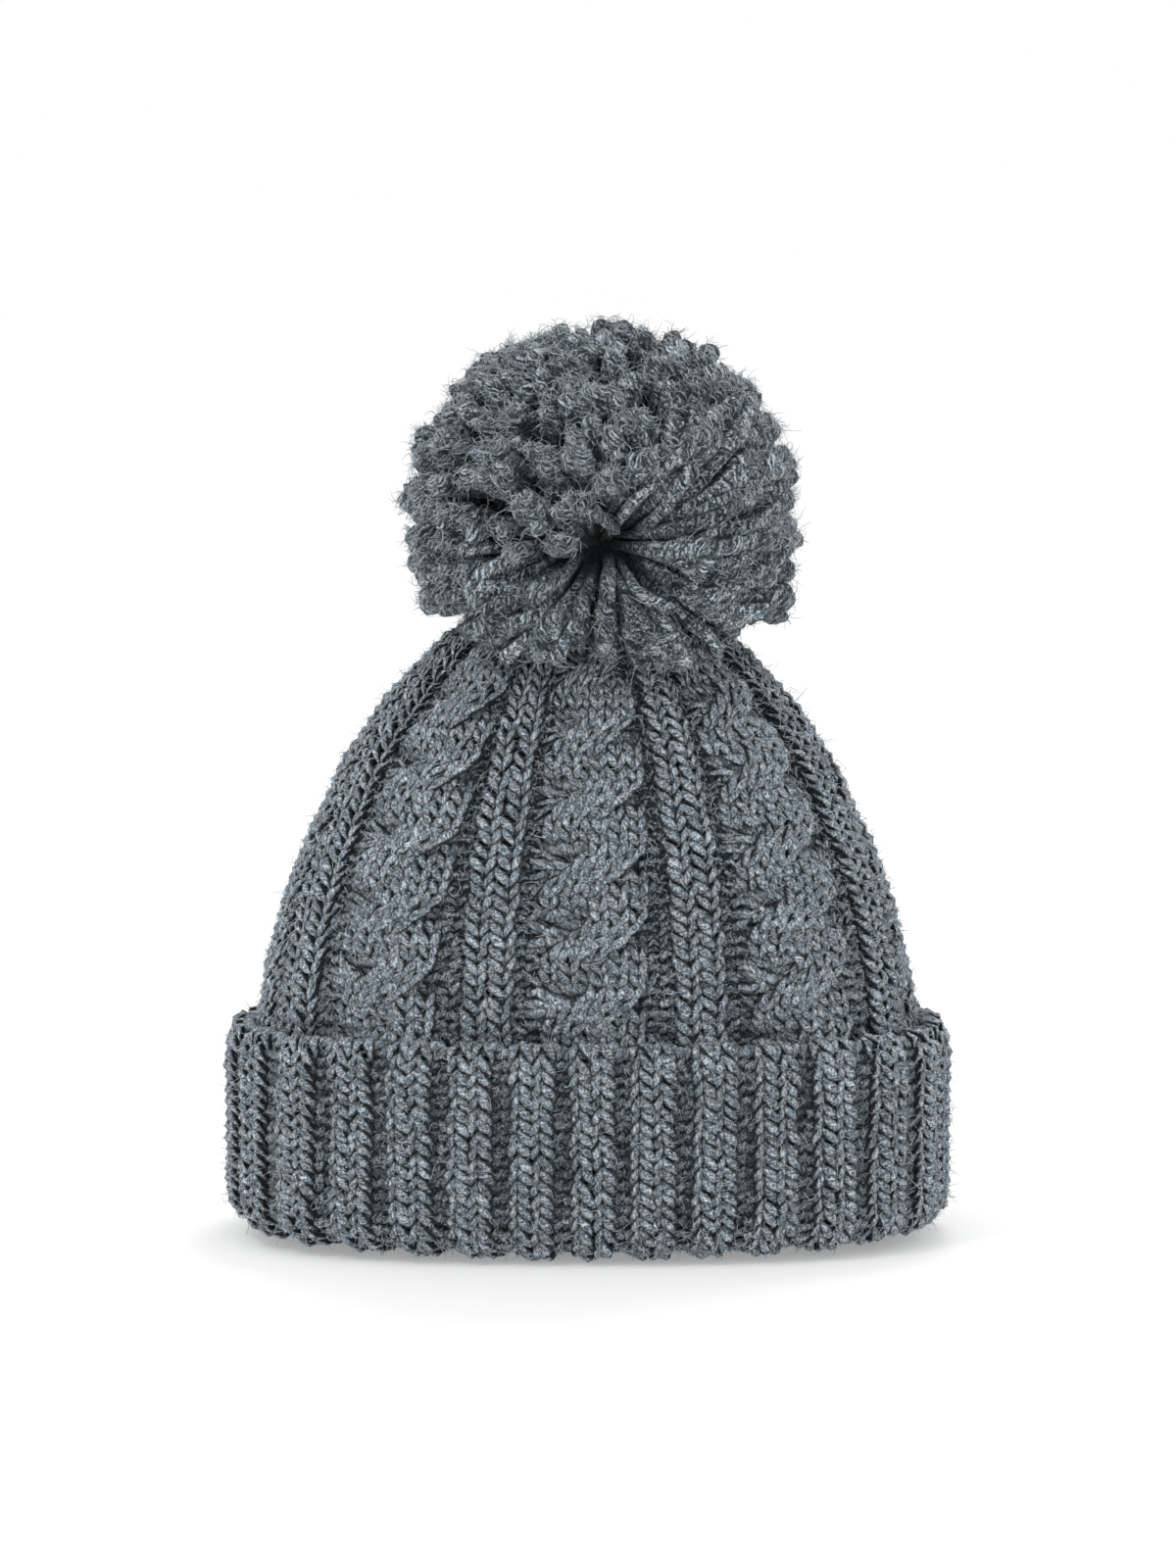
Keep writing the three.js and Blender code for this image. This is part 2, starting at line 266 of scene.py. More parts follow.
# ------------------------------------------------------------------ materials
def yarn_material(name, base, dark, light, rough=1.0, sheen=0.18, bump=0.7, streak=0.62, fleck=0.22, deep_shade=0.14, crease_shade=0.07, vary=0.14, low=-0.12):
    """Melange yarn: fibre streaks that run along the ply, flecks of teal and brown, stitch-to-stitch tone, and painted
    shade: points that lie deep and the creases at a yarn's sides are painted darker, open crests a little lighter.
    """
    m = bpy.data.materials.new(name); m.use_nodes = True
    nt = m.node_tree; nt.nodes.clear()
    N = lambda t: nt.nodes.new(t)
    L = nt.links.new
    out = N("ShaderNodeOutputMaterial"); b = N("ShaderNodeBsdfPrincipled"); L(b.outputs[0], out.inputs[0])
    b.inputs["Roughness"].default_value = rough
    b.inputs["Specular IOR Level"].default_value = 0.08
    b.inputs["Sheen Weight"].default_value = sheen
    b.inputs["Sheen Roughness"].default_value = 0.45
    b.inputs["Sheen Tint"].default_value = (0.80, 0.86, 0.90, 1)
    ya = N("ShaderNodeAttribute"); ya.attribute_name = "yarn"
    tn = N("ShaderNodeAttribute"); tn.attribute_name = "tone"
    tc = N("ShaderNodeTexCoord")
    # fine fibres along the yarn
    n1 = N("ShaderNodeTexNoise"); n1.inputs["Scale"].default_value = 1.9; n1.inputs["Detail"].default_value = 5; n1.inputs["Roughness"].default_value = 0.75
    L(ya.outputs["Vector"], n1.inputs["Vector"])
    # crossing hairs, in the object's own space
    mp = N("ShaderNodeMapping"); mp.inputs["Scale"].default_value = (1500, 1500, 700); mp.inputs["Rotation"].default_value = (0.5, 0.3, 0.7)
    L(tc.outputs["Object"], mp.inputs["Vector"])
    n2 = N("ShaderNodeTexNoise"); n2.inputs["Scale"].default_value = 1.0; n2.inputs["Detail"].default_value = 3; n2.inputs["Roughness"].default_value = 0.6
    L(mp.outputs[0], n2.inputs["Vector"])
    # melange patches
    n3 = N("ShaderNodeTexNoise"); n3.inputs["Scale"].default_value = 420; n3.inputs["Detail"].default_value = 3
    L(tc.outputs["Object"], n3.inputs["Vector"])
    add = N("ShaderNodeMath"); add.operation = "MULTIPLY_ADD"; add.inputs[1].default_value = streak
    L(n1.outputs["Fac"], add.inputs[0])
    m2 = N("ShaderNodeMath"); m2.operation = "MULTIPLY"; m2.inputs[1].default_value = 1 - streak
    L(n2.outputs["Fac"], m2.inputs[0]); L(m2.outputs[0], add.inputs[2])
    ramp = N("ShaderNodeValToRGB")
    ramp.color_ramp.elements[0].position = 0.39; ramp.color_ramp.elements[0].color = (*dark, 1)
    ramp.color_ramp.elements[1].position = 0.62; ramp.color_ramp.elements[1].color = (*light, 1)
    e = ramp.color_ramp.elements.new(0.5); e.color = (*base, 1)
    L(add.outputs[0], ramp.inputs["Fac"])
    # flecks of colour
    fr = N("ShaderNodeValToRGB"); cr = fr.color_ramp
    cr.elements[0].position = 0.32; cr.elements[0].color = (0.74, 1.02, 1.03, 1)
    cr.elements[1].position = 0.70; cr.elements[1].color = (1.14, 1.0, 0.86, 1)
    c = cr.elements.new(0.5); c.color = (1, 1, 1, 1)
    L(n3.outputs["Fac"], fr.inputs["Fac"])
    mx = N("ShaderNodeMix"); mx.data_type = "RGBA"; mx.blend_type = "MULTIPLY"; mx.inputs["Factor"].default_value = fleck
    L(ramp.outputs["Color"], mx.inputs["A"]); L(fr.outputs["Color"], mx.inputs["B"])
    # stitch-to-stitch tone
    mr = N("ShaderNodeMapRange"); mr.inputs["To Min"].default_value = 1 - vary; mr.inputs["To Max"].default_value = 1 + vary
    L(tn.outputs["Fac"], mr.inputs["Value"])
    # painted shade: recessed points darker, open points a little lighter
    dp = N("ShaderNodeAttribute"); dp.attribute_name = "depth_shade"
    dr = N("ShaderNodeMapRange"); dr.interpolation_type = "SMOOTHSTEP"
    dr.inputs["From Min"].default_value = low; dr.inputs["From Max"].default_value = 0.9
    dr.inputs["To Min"].default_value = deep_shade; dr.inputs["To Max"].default_value = 1.12
    L(dp.outputs["Fac"], dr.inputs["Value"])
    # painted shade in the creases at the sides of each yarn
    cp = N("ShaderNodeAttribute"); cp.attribute_name = "crest_shade"
    cm = N("ShaderNodeMapRange"); cm.interpolation_type = "SMOOTHSTEP"
    cm.inputs["From Min"].default_value = 0.46; cm.inputs["From Max"].default_value = 0.76
    cm.inputs["To Min"].default_value = crease_shade; cm.inputs["To Max"].default_value = 1.0
    L(cp.outputs["Fac"], cm.inputs["Value"])
    d1 = N("ShaderNodeMath"); d1.operation = "MULTIPLY"; L(cm.outputs[0], d1.inputs[0]); L(dr.outputs[0], d1.inputs[1])
    dm = N("ShaderNodeMath"); dm.operation = "MULTIPLY"; L(mr.outputs[0], dm.inputs[0]); L(d1.outputs[0], dm.inputs[1])
    vm = N("ShaderNodeVectorMath"); vm.operation = "SCALE"
    L(mx.outputs["Result"], vm.inputs[0]); L(dm.outputs[0], vm.inputs["Scale"])
    L(vm.outputs[0], b.inputs["Base Color"])
    bp = N("ShaderNodeBump"); bp.inputs["Strength"].default_value = bump; bp.inputs["Distance"].default_value = 0.0006
    L(add.outputs[0], bp.inputs["Height"]); L(bp.outputs[0], b.inputs["Normal"])
    return m


def srgb(*c):
    return tuple(((v / 255) / 12.92 if v / 255 <= 0.04045 else ((v / 255 + 0.055) / 1.055) ** 2.4) for v in c)


# painted shade in each yarn: how dark recessed points and creases go
KNIT_MAT = yarn_material("knit_yarn", srgb(108, 117, 125), srgb(38, 44, 49), srgb(218, 226, 233), low=-0.06, streak=0.76, crease_shade=0.05)
POM_FUZZ_MAT = yarn_material("pompom_fibre", srgb(156, 164, 171), srgb(88, 96, 102), srgb(238, 242, 245), bump=0.0, sheen=0.5, crease_shade=1.0)
POM_MAT = yarn_material("pompom_yarn", srgb(65, 73, 79), srgb(20, 25, 29), srgb(198, 206, 213), bump=1.0, deep_shade=0.05, crease_shade=0.06, streak=0.88, vary=0.36, low=0.05)
# the pompom core's yarn, painted darker as the shade deep in the bundle
CORE_SHADE_MAT = yarn_material("pompom_core_shade", srgb(52, 58, 62), srgb(30, 35, 38), srgb(78, 85, 90), bump=0.8, deep_shade=0.6)
SEAM_MAT = yarn_material("seam_yarn", srgb(104, 112, 118), srgb(60, 66, 72), srgb(150, 157, 162))
FUZZ_MAT = yarn_material("fuzz_fibre", srgb(166, 175, 182), srgb(104, 112, 118), srgb(234, 239, 243), bump=0.0, sheen=0.5, crease_shade=1.0)


def finish_piece(ob, body, slot, mat, *nodes):
    ob.data.materials.clear(); ob.data.materials.append(mat)
    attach(ob, body)
    if nodes:
        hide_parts(*nodes)
    return ob


# ------------------------------------------------------------------ crown: cables, ribs and gutters
ROW = 3.62                    # mm a row
CABLE_P = 19.75               # mm between cable crossings
REPEATS = 8
CABLE_HALF = 2.75             # wales from a cable's centre to its edge: its strands overlap by half a wale
crown_st = offset_stations(CROWN, -3.3)
crown_st[:, 1] -= 1.5 * sstep((crown_st[:, 0] - 132.0) / 24.0)      # its stitches bunch up and lie flatter there
crown_mid = Surface(crown_st)


def wale_mm(s):
    """Width of one wale of rib, purl gutter and cable at s, before it is fitted to the way round."""
    z = np.interp(s, crown_mid.sq, crown_mid.stations[:, 0])
    zz = [60, 79, 95, 118, 129.5, 152, 166, 182]
    rib = np.interp(z, zz, [7.3, 7.2, 7.1, 6.9, 6.8, 6.3, 5.6, 4.5])
    purl = np.interp(z, zz, [4.3, 4.1, 3.5, 2.5, 2.0, 1.4, 1.2, 1.1])
    cab = np.interp(z, zz, [5.55, 5.55, 5.52, 5.45, 5.3, 4.95, 4.3, 3.4])
    return rib, purl, cab


def warp(uf):
    """The pattern is spread a little at the front and back and closer at the sides."""
    return uf + 0.07 * np.sin(4 * PI * uf) / (4 * PI)


def strand_state(s, s0):
    """Where the two three-wale strands of a cable are: place in wale widths, and lift in mm."""
    p = (s - s0) / CABLE_P
    m = np.floor(p); f = p - m
    even = (np.mod(m, 2) == 0)
    c = CABLE_HALF - 1.5
    g = (f - 0.02) / 0.66
    fwd = -c + 2 * c * (0.45 * np.clip(g, 0, 1) + 0.55 * sstep(g))
    fwd_lift = 0.1 + 0.6 * sstep((f - 0.05) / 0.3) + 1.3 * np.sin(PI * np.clip((f + 0.04) / 0.90, 0, 1))
    back = c - 2 * c * sstep((f - 0.32) / 0.44)
    back_lift = 0.7 - 0.6 * sstep((f - 0.02) / 0.3) - 2.2 * np.sin(PI * np.clip((f - 0.08) / 0.80, 0, 1))
    return (np.where(even, fwd, back), np.where(even, fwd_lift, back_lift),
            np.where(even, back, fwd), np.where(even, back_lift, fwd_lift))


def cable_edges(s, s0):
    """Left and right edge of a cable, in wale widths from its centre."""
    pa, _, pb, _ = strand_state(s, s0)
    return np.minimum(pa, pb) - 1.5, np.maximum(pa, pb) + 1.5


def crown_stitches(s_lo, s_hi, kinds, reps, T=LOOP_T):
    """Stitches of the crown: C cable, K rib, P purl gutter. Returns paths, radii, normals, stand-off."""
    nrow = int((s_hi - s_lo) / ROW)
    rows = s_lo + (np.arange(nrow) + 0.5) * ROW
    P, R, N, O = [], [], [], []
    for rep in reps:
        for k in range(12):
            kind = "C" if k < 6 else ("K" if k in (8, 9) else "P")
            if kind not in kinds:
                continue
            lx, ly, lz, lr = loop_path(CABLE_KEYS if kind == "C" else LOOP_KEYS, T)
            jit = np.random.default_rng(1000 + rep * 12 + k)
            n = nrow
            sj = rows + jit.normal(0, 0.24, n) + 0.4 * np.sin(rows / 17.0 + rep * 1.7) + 0.25 * np.sin(rows / 5.3 + k * 1.3)
            sp = sj[:, None] + ly[None, :] * ROW
            rib, purl, cab = wale_mm(sp)
            tot = 2 * CABLE_HALF * cab + 4 * purl + 2 * rib
            per = crown_mid.perimeter(sp)
            scale = per / (REPEATS * tot)
            start = rep / REPEATS - CABLE_HALF * cab * scale / per
            jx = jit.normal(0, 0.045, (n, 1)) + 0.10 * jit.normal(0, 1, (n, 1)) * lx[None, :]
            jn = jit.normal(0, 0.20, (n, 1)); jr = 1 + jit.normal(0, 0.08, (n, 1))
            shift = PHASE_MM / per
            if kind == "C":
                s0 = cable_phase[rep]
                pa, la, pb, lb = strand_state(sp, s0)
                first = k < 3
                pos = (pa if first else pb) + (k % 3 - 1)
                lift = ((la if first else lb) + (0.5 if k % 3 == 1 else 0.0)) * (0.35 if rep in (2, 6) else 1.0)
                # the rope is rounded: its edges sit lower
                edge = np.abs(pos + lx[None, :]) / CABLE_HALF
                lift = lift + 0.7 - 1.4 * np.clip(edge, 0, 1.1) ** 3
                uf = rep / REPEATS + (pos + lx[None, :] + jx) * cab * scale / per
                rad = np.broadcast_to(lr[None, :], sp.shape) * np.clip(cab * scale / 4.6, 0.5, 1.16)
                off = lift + lz[None, :] * 0.8 + jn
            else:
                if k in (6, 7):
                    left = 2 * CABLE_HALF * cab + (k - 6) * purl; w = purl
                elif k in (8, 9):
                    left = 2 * CABLE_HALF * cab + 2 * purl + (k - 8) * rib; w = rib
                else:
                    left = 2 * CABLE_HALF * cab + 2 * purl + 2 * rib + (k - 10) * purl; w = purl
                uf = start + (left + (0.5 + lx[None, :] + jx) * w) * scale / per
                if kind == "K":
                    q = ((k - 8) + 0.5 + lx[None, :]) - 1.0
                    lift = 1.25 - 1.5 * np.clip(np.abs(q), 0, 1.2) ** 4
                    off = lift + lz[None, :] * 0.95 + jn
                    rad = np.broadcast_to(lr[None, :] * 1.06, sp.shape) * np.clip(w * scale / 7.0, 0.5, 1.1)
                else:
                    # purl: the loop turned front to back, so its head stands forward as a bump
                    tilt = jit.normal(0.14, 0.26, (n, 1)) * lx[None, :] * ROW * 1.6
                    sp = sp + tilt
                    lift = 0.0
                    if k == 6:       # drawn in to the cable's right edge
                        _, er = cable_edges(sp, cable_phase[rep])
                        pull = (CABLE_HALF - er) * cab * (0.5 - lx[None, :])
                        uf = uf - pull * scale / per; lift = np.clip(pull / 5.0, 0, 1) * 0.5
                    elif k == 11:    # stretched across the notch on the next cable's left edge
                        el, _ = cable_edges(sp, cable_phase[(rep + 1) % REPEATS])
                        pull = (CABLE_HALF + el) * cab * (0.5 + lx[None, :])
                        uf = uf + pull * scale / per; lift = np.clip(pull / 6.0, 0, 1) * 2.5
                        # the stretched bars gather like a fan towards the notch
                        q = (sp - cable_phase[(rep + 1) % REPEATS]) / CABLE_P
                        notch = (np.floor(q - 0.36 + 0.5) + 0.36 - q) * CABLE_P
                        sp = sp + notch * 0.5 * (0.5 + lx[None, :]) * np.clip(pull / 4.0, 0, 1)
                    stretch = np.clip(lift / 1.9, 0, 1)
                    off = -2.15 - np.clip(lz, -1.2, 1)[None, :] * (1.15 - 0.6 * stretch) + jn * 1.6 + lift
                    rad = (1.08 - 0.14 * np.clip(lz, -1, 1))[None, :] * np.clip(w * scale / 3.6, 0.55, 1.05) * (1 + 0.6 * stretch)
            off = np.broadcast_to(off, sp.shape)
            pts, nor = crown_mid.at(warp(uf) + shift, sp, np.zeros(sp.shape))
            off = off * (1 - 0.28 * np.abs(nor[..., 0]) ** 3)
            pts = pts + nor * off[..., None]
            P.append(pts); R.append(rad * jr); N.append(nor); O.append(off)
    return np.concatenate(P), np.concatenate(R), np.concatenate(N), np.concatenate(O)


cable_phase = np.array([0.0, 6.2, 1.5, 8.0, 3.0, 9.5, 5.0, 6.2])
s_notch = crown_mid.s_at_z(110.8) - 0.36 * CABLE_P
cable_phase = s_notch + cable_phase

S_BODY = crown_mid.s_at_z(57.0)
S_TOP = crown_mid.s_at_z(180.9)
FUZZ_ROOTS = {"crown": [], "cuff": [], "pompom": []}


def keep_roots(body, P, R, N, O):
    """Points where loose fibres may start: open parts of the loops."""
    m = O > -0.9
    FUZZ_ROOTS[body].append((P[m], R[m], N[m]))


for name, kinds, reps in (("crown_cables_front", "C", (0, 1, 7, 6)), ("crown_cables_back", "C", (2, 3, 4, 5)),
                          ("crown_ribs", "K", range(8)), ("crown_gutters_front", "P", (0, 1, 7, 6)), ("crown_gutters_back", "P", (2, 3, 4, 5))):
    Pc, Rc, Nc, Oc = crown_stitches(S_BODY, S_TOP, kinds, reps, T=LOOP_T if kinds != "P" else 13)
    arr = tube_arrays(Pc, Rc, 7 if kinds != "P" else 6, Nc[:, 0], flat=1.1, seed=11 + len(name), nor=Nc, off=Oc, side_shade_fade=0.3)
    ob = make_mesh(name, *arr[:3], attrs=arr[3])
    finish_piece(ob, "crown", "knit_yarn", KNIT_MAT, "crown_knit")
    keep_roots("crown", Pc, Rc, Nc, Oc)


# ------------------------------------------------------------------ ribbed bands
def rib_band(surface, n_ribs, s_lo, s_hi, row, phase_mm, upright, k_w, p_w, seed, ribs, T=LOOP_T,
             k_lift=1.25, p_lift=-2.55, thick=1.0):
    """2x2 rib. upright False turns the stitches over, as on a turned-up cuff."""
    lx, ly, lz, lr = loop_path(LOOP_KEYS, T)
    if not upright:
        ly = -ly; lx = -lx            # turned upside down: the plump leg is on the right, on the same slant
    nrow = max(1, int(round((s_hi - s_lo) / row)))
    rows = s_lo + (np.arange(nrow) + 0.5) * (s_hi - s_lo) / nrow
    P, R, N, O = [], [], [], []
    pitch = 2 * k_w + 2 * p_w
    ph = phase_mm / surface.perimeter(np.array([surface.length * 0.5]))[0]
    for r in ribs:
        for k in range(4):
            jit = np.random.default_rng(seed + r * 4 + k)
            sj = rows + jit.normal(0, 0.22, nrow) + 0.35 * np.sin(rows / 13.0 + r * 2.3) + 0.2 * np.sin(rows / 4.7 + k * 1.9 + r)
            sp = sj[:, None] + ly[None, :] * row
            sway = 0.25 * np.sin(sp / 15.0 + r * 1.9) / pitch / n_ribs
            jx = jit.normal(0, 0.045, (nrow, 1)) + 0.10 * jit.normal(0, 1, (nrow, 1)) * lx[None, :]
            jn = jit.normal(0, 0.20, (nrow, 1)); jr = 1 + jit.normal(0, 0.08, (nrow, 1))
            if k < 2:
                left = -k_w + k * k_w; w = k_w
                q = (k - 1) + 0.5 + lx[None, :]
                off = k_lift - 1.5 * np.clip(np.abs(q), 0, 1.2) ** 4 + lz[None, :] * 0.9 + jn
                rad = np.broadcast_to(lr[None, :] * thick, sp.shape)
            else:
                left = k_w + (k - 2) * p_w; w = p_w
                # the gutters fill in as the cloth bends round the fold
                off = p_lift * (0.55 + 0.45 * sstep((sp - 9.0) / 9.0)) - np.clip(lz, -1.2, 1)[None, :] * 1.2 + jn * 1.4
                rad = np.broadcast_to((1.0 - 0.14 * np.clip(lz, -1, 1))[None, :] * thick, sp.shape)
            if k >= 2:
                sp = sp + jit.normal(0.10, 0.16, (nrow, 1)) * lx[None, :] * row * 1.3
            uf = r / n_ribs + ph + sway + (left + (0.5 + lx[None, :] + jx) * w) / (pitch * n_ribs)
            off = np.broadcast_to(off, sp.shape)
            pts, nor = surface.at(uf, sp, np.zeros(sp.shape))
            off = off * (1 - 0.25 * np.abs(nor[..., 0]) ** 3)
            pts = pts + nor * off[..., None]
            if not upright:
                pts = rise(pts)
            P.append(pts); R.append(rad * jr); N.append(nor); O.append(off)
    return np.concatenate(P), np.concatenate(R), np.concatenate(N), np.concatenate(O)


def rise(p):
    """The turned-up edge bows up a little towards the sides of the head."""
    p = np.array(p)
    p[..., 2] += 3.2 * (np.abs(p[..., 0]) / 104.2) ** 2 * np.clip((30.0 - p[..., 2]) / 28.0, 0, 1)
    return p


# cuff: outside face from under the fold up to the cast-on edge
def cuff_station(d, z):
    return [z, CUFF_A + d, CUFF_B + d, CUFF_N]


cuff_mid = Surface([cuff_station(*q) for q in [
    (-13.5, 5.6), (-12.6, 4.4), (-10.5, 3.8), (-8.0, 4.0), (-5.4, 5.4), (-3.6, 8.4), (-3.1, 14.0), (-3.0, 24.0),
    (-3.0, 36.0), (-3.0, 48.0), (-3.1, 55.0), (-3.9, 58.4), (-5.5, 60.0), (-7.0, 59.4)]])
N_RIBS = int(round(cuff_mid.perimeter(np.array([cuff_mid.length * .6]))[0] * (CUFF_A / (CUFF_A - 3)) / 17.8))
N_RIBS = 30
FRONT_RIBS = [r for r in range(N_RIBS) if r < 8 or r >= N_RIBS - 7]
BACK_RIBS = [r for r in range(N_RIBS) if r not in FRONT_RIBS]
for name, ribs in (("cuff_rib_front_a", FRONT_RIBS[:8]), ("cuff_rib_front_b", FRONT_RIBS[8:]), ("cuff_rib_back_a", BACK_RIBS[:8]), ("cuff_rib_back_b", BACK_RIBS[8:])):
    Pq, Rq, Nq, Oq = rib_band(cuff_mid, N_RIBS, 0.8, cuff_mid.length - 0.8, 3.38, PHASE_MM, False, 6.3, 2.75, 5000, ribs)
    arr = tube_arrays(Pq, Rq, 7, Nq[:, 0], flat=1.1, seed=60 + len(ribs) + ribs[0], nor=Nq, off=Oq)
    ob = make_mesh(name, *arr[:3], attrs=arr[3])
    finish_piece(ob, "cuff", "knit_yarn", KNIT_MAT, "cuff_band")
    keep_roots("cuff", Pq, Rq, Nq, Oq)

# inner ribbed layer behind the cuff, part of the crown's tube
inner_mid = Surface(offset_stations(CROWN[:4], -3.7))
for name, ribs in (("inner_rib_front", FRONT_RIBS), ("inner_rib_back", BACK_RIBS)):
    Pi, Ri, Ni, Oi = rib_band(inner_mid, N_RIBS, 1.6, inner_mid.s_at_z(60.5), 3.5, PHASE_MM, True, 5.7, 2.2, 9000, ribs, T=11,
                              k_lift=0.1, p_lift=-0.9, thick=0.82)
    arr = tube_arrays(Pi, Ri, 6, Ni[:, 0], flat=1.08, seed=80 + len(ribs), nor=Ni, off=Oi)
    ob = make_mesh(name, *arr[:3], attrs=arr[3])
    finish_piece(ob, "crown", "knit_yarn", KNIT_MAT)


# ------------------------------------------------------------------ the ground between loops: a closed shell that fills the gaps, painted dark as shade
def ground_shell(name, surface, s_lo, s_hi, out_off, in_off, nu, ns, body, ripple=None, seed=3):
    s = np.linspace(s_lo, s_hi, ns)
    u = np.arange(nu) / nu
    uu, ss = np.meshgrid(u, s)
    r = np.random.default_rng(seed)
    n = r.normal(0, 0.12, uu.shape)
    po, _ = surface.at(uu, ss, out_off + n)
    pi, _ = surface.at(uu, ss, in_off + n)
    if body == "cuff":
        po, pi = rise(po), rise(pi)
    v = np.concatenate([po, pi[::-1]])          # closed loop of rings
    R = len(v)
    idx = np.arange(R)[:, None] * nu + np.arange(nu)[None, :]
    a = idx; b = np.roll(idx, -1, 1); d = np.roll(idx, -1, 0); c = np.roll(b, -1, 0)
    q = np.stack([a, b, c, d], -1).reshape(-1, 4)
    vv = v.reshape(-1, 3)
    # painted shade: the outer face very dark, the inner face less so
    recess_shade = np.concatenate([np.full(len(vv) // 2, 0.05), np.full(len(vv) // 2, 0.45)])
    at = {"yarn": vv * np.array([0.9, 0.9, 0.9]), "tone": r.uniform(0, 1, len(vv)), "depth_shade": recess_shade, "crest_shade": np.ones(len(vv))}
    return make_mesh(name, vv, q, attrs=at)


gs = ground_shell("crown_ground", crown_mid, crown_mid.s_at_z(6.0), crown_mid.s_at_z(181.4), -1.0, -1.4, 240, 90, "crown")
finish_piece(gs, "crown", "knit_yarn", KNIT_MAT)
gc = ground_shell("cuff_ground", cuff_mid, 0.5, cuff_mid.length - 0.5, -1.0, -1.4, 240, 44, "cuff", seed=4)
finish_piece(gc, "cuff", "knit_yarn", KNIT_MAT)


# ------------------------------------------------------------------ small yarn pieces
def tube_piece(name, P, R, U, sides, mat, body, slot, *nodes, flat=1.0, seed=1, twist=0.9):
    a = tube_arrays(np.asarray(P, float), np.asarray(R, float), sides, np.asarray(U, float), flat=flat, seed=seed, twist=twist)
    ob = make_mesh(name, *a[:3], attrs=a[3])
    return finish_piece(ob, body, slot, mat, *nodes)


def plied(path, r_helix, r_ply, plies, turns, sides=8, phase=0.0):
    """Twisted cord along a path (T,3): returns P, R, U for its plies."""
    path = np.asarray(path, float); T = len(path)
    tan = np.gradient(path, axis=0); tan /= np.linalg.norm(tan, axis=1, keepdims=True)
    ref = np.array([0.0, 0.0, 1.0]) if abs(tan[0, 2]) < 0.8 else np.array([1.0, 0.0, 0.0])
    e1 = np.empty_like(path); cur = ref - (ref @ tan[0]) * tan[0]
    for k in range(T):
        cur = cur - (cur @ tan[k]) * tan[k]; cur /= np.linalg.norm(cur); e1[k] = cur
    e2 = np.cross(tan, e1)
    out = []
    for p in range(plies):
        a = phase + 2 * PI * (p / plies + turns * np.linspace(0, 1, T))
        out.append(path + r_helix * (np.cos(a)[:, None] * e1 + np.sin(a)[:, None] * e2))
    P = np.stack(out)
    return P, np.full((plies, T), r_ply), np.repeat(e1[:1], plies, 0)


# cast-on edge: a low, loose chain tucked behind the roll of the ribs, one link for every wale
def cast_on():
    ed = Surface([cuff_station(-6.4, 50.0), cuff_station(-6.4, 56.0), cuff_station(-6.4, 70.0)], ns=40)
    n = N_RIBS * 4
    s0 = ed.s_at_z(59.7)
    t = np.linspace(-PI * 1.05, PI * 1.05, 13)
    P, R, U = [], [], []
    for i in range(n):
        j = np.random.default_rng(700 + i)
        k = i % 4
        wide = 6.3 if k < 2 else 2.75
        left = [-6.3, 0.0, 6.3, 9.05][k]
        pitch = 18.1
        c = (i // 4) / N_RIBS + PHASE_MM / ed.per[0] + (left + wide / 2) / (pitch * N_RIBS)
        drop = 0.35 if k < 2 else -0.5
        uf = c + (t / (2 * PI)) * (wide * 1.2 + 1.6) / (pitch * N_RIBS)
        off = 1.0 * np.cos(t) + j.normal(0, .2)
        ss = s0 + 1.15 * np.sin(t) + drop + j.normal(0, .25)
        pts, nor = ed.at(uf, np.broadcast_to(ss, uf.shape), off)
        P.append(pts); U.append(nor[0]); R.append(np.full(13, (1.25 if k < 2 else 1.05) * (1 + j.normal(0, .08))))
    return np.array(P), np.array(R), np.array(U)


P, R, U = cast_on()
tube_piece("cast_on_edge", P, R, U, 7, KNIT_MAT, "cuff", "knit_yarn", "cuff_cast_on_edge", flat=1.1, seed=21)

# linked seams: a line of short whip stitches
zs = np.arange(7.0, 55.0, 3.2)
P = []
for z in zs:
    t = np.linspace(-1, 1, 7)
    P.append(np.column_stack([t * 2.9, 54.2 - 1.9 * t ** 2, z + t * 1.3]))
P = np.array(P)
tube_piece("cuff_seam_stitches", P, np.full(P.shape[:2], 0.95), np.tile([0, 1.0, 0], (len(P), 1)), 7, SEAM_MAT, "cuff", "seam_yarn", "cuff_seam", seed=22)

inner_zb = np.array([[8, 39.4], [30, 39.4], [63, 39.5], [84, 40.7], [95.5, 41.2], [107, 40.6], [118, 39.2], [129.5, 36.8], [141, 33.8], [150, 30.6], [157, 27.2], [161, 24.7]])
P = []
for z in np.arange(9.0, 160.0, 3.1):
    y0 = np.interp(z, inner_zb[:, 0], inner_zb[:, 1]) - 0.6
    t = np.linspace(-PI * .62, PI * .62, 9)
    P.append(np.column_stack([2.6 * np.sin(t), y0 - 2.0 * np.cos(t) + 0.8, z + 1.4 * np.sin(t)]))
P = np.array(P)
tube_piece("crown_seam_stitches", P, np.full(P.shape[:2], 0.85), np.tile([0, -1.0, 0], (len(P), 1)), 7, SEAM_MAT, "crown", "seam_yarn", "crown_seam", seed=23)

# gathering yarn: a two-ply ring drawn tight inside the crown's top
a = np.linspace(0, 2 * PI * 1.02, 73)
P, R, U = plied(np.column_stack([9.2 * np.cos(a), 9.2 * np.sin(a), np.full_like(a, 171.2)]), 0.62, 0.72, 2, 11)
tube_piece("gather_yarn", P, R, U, 7, SEAM_MAT, "crown", "seam_yarn", "crown_gather_yarn", seed=24)

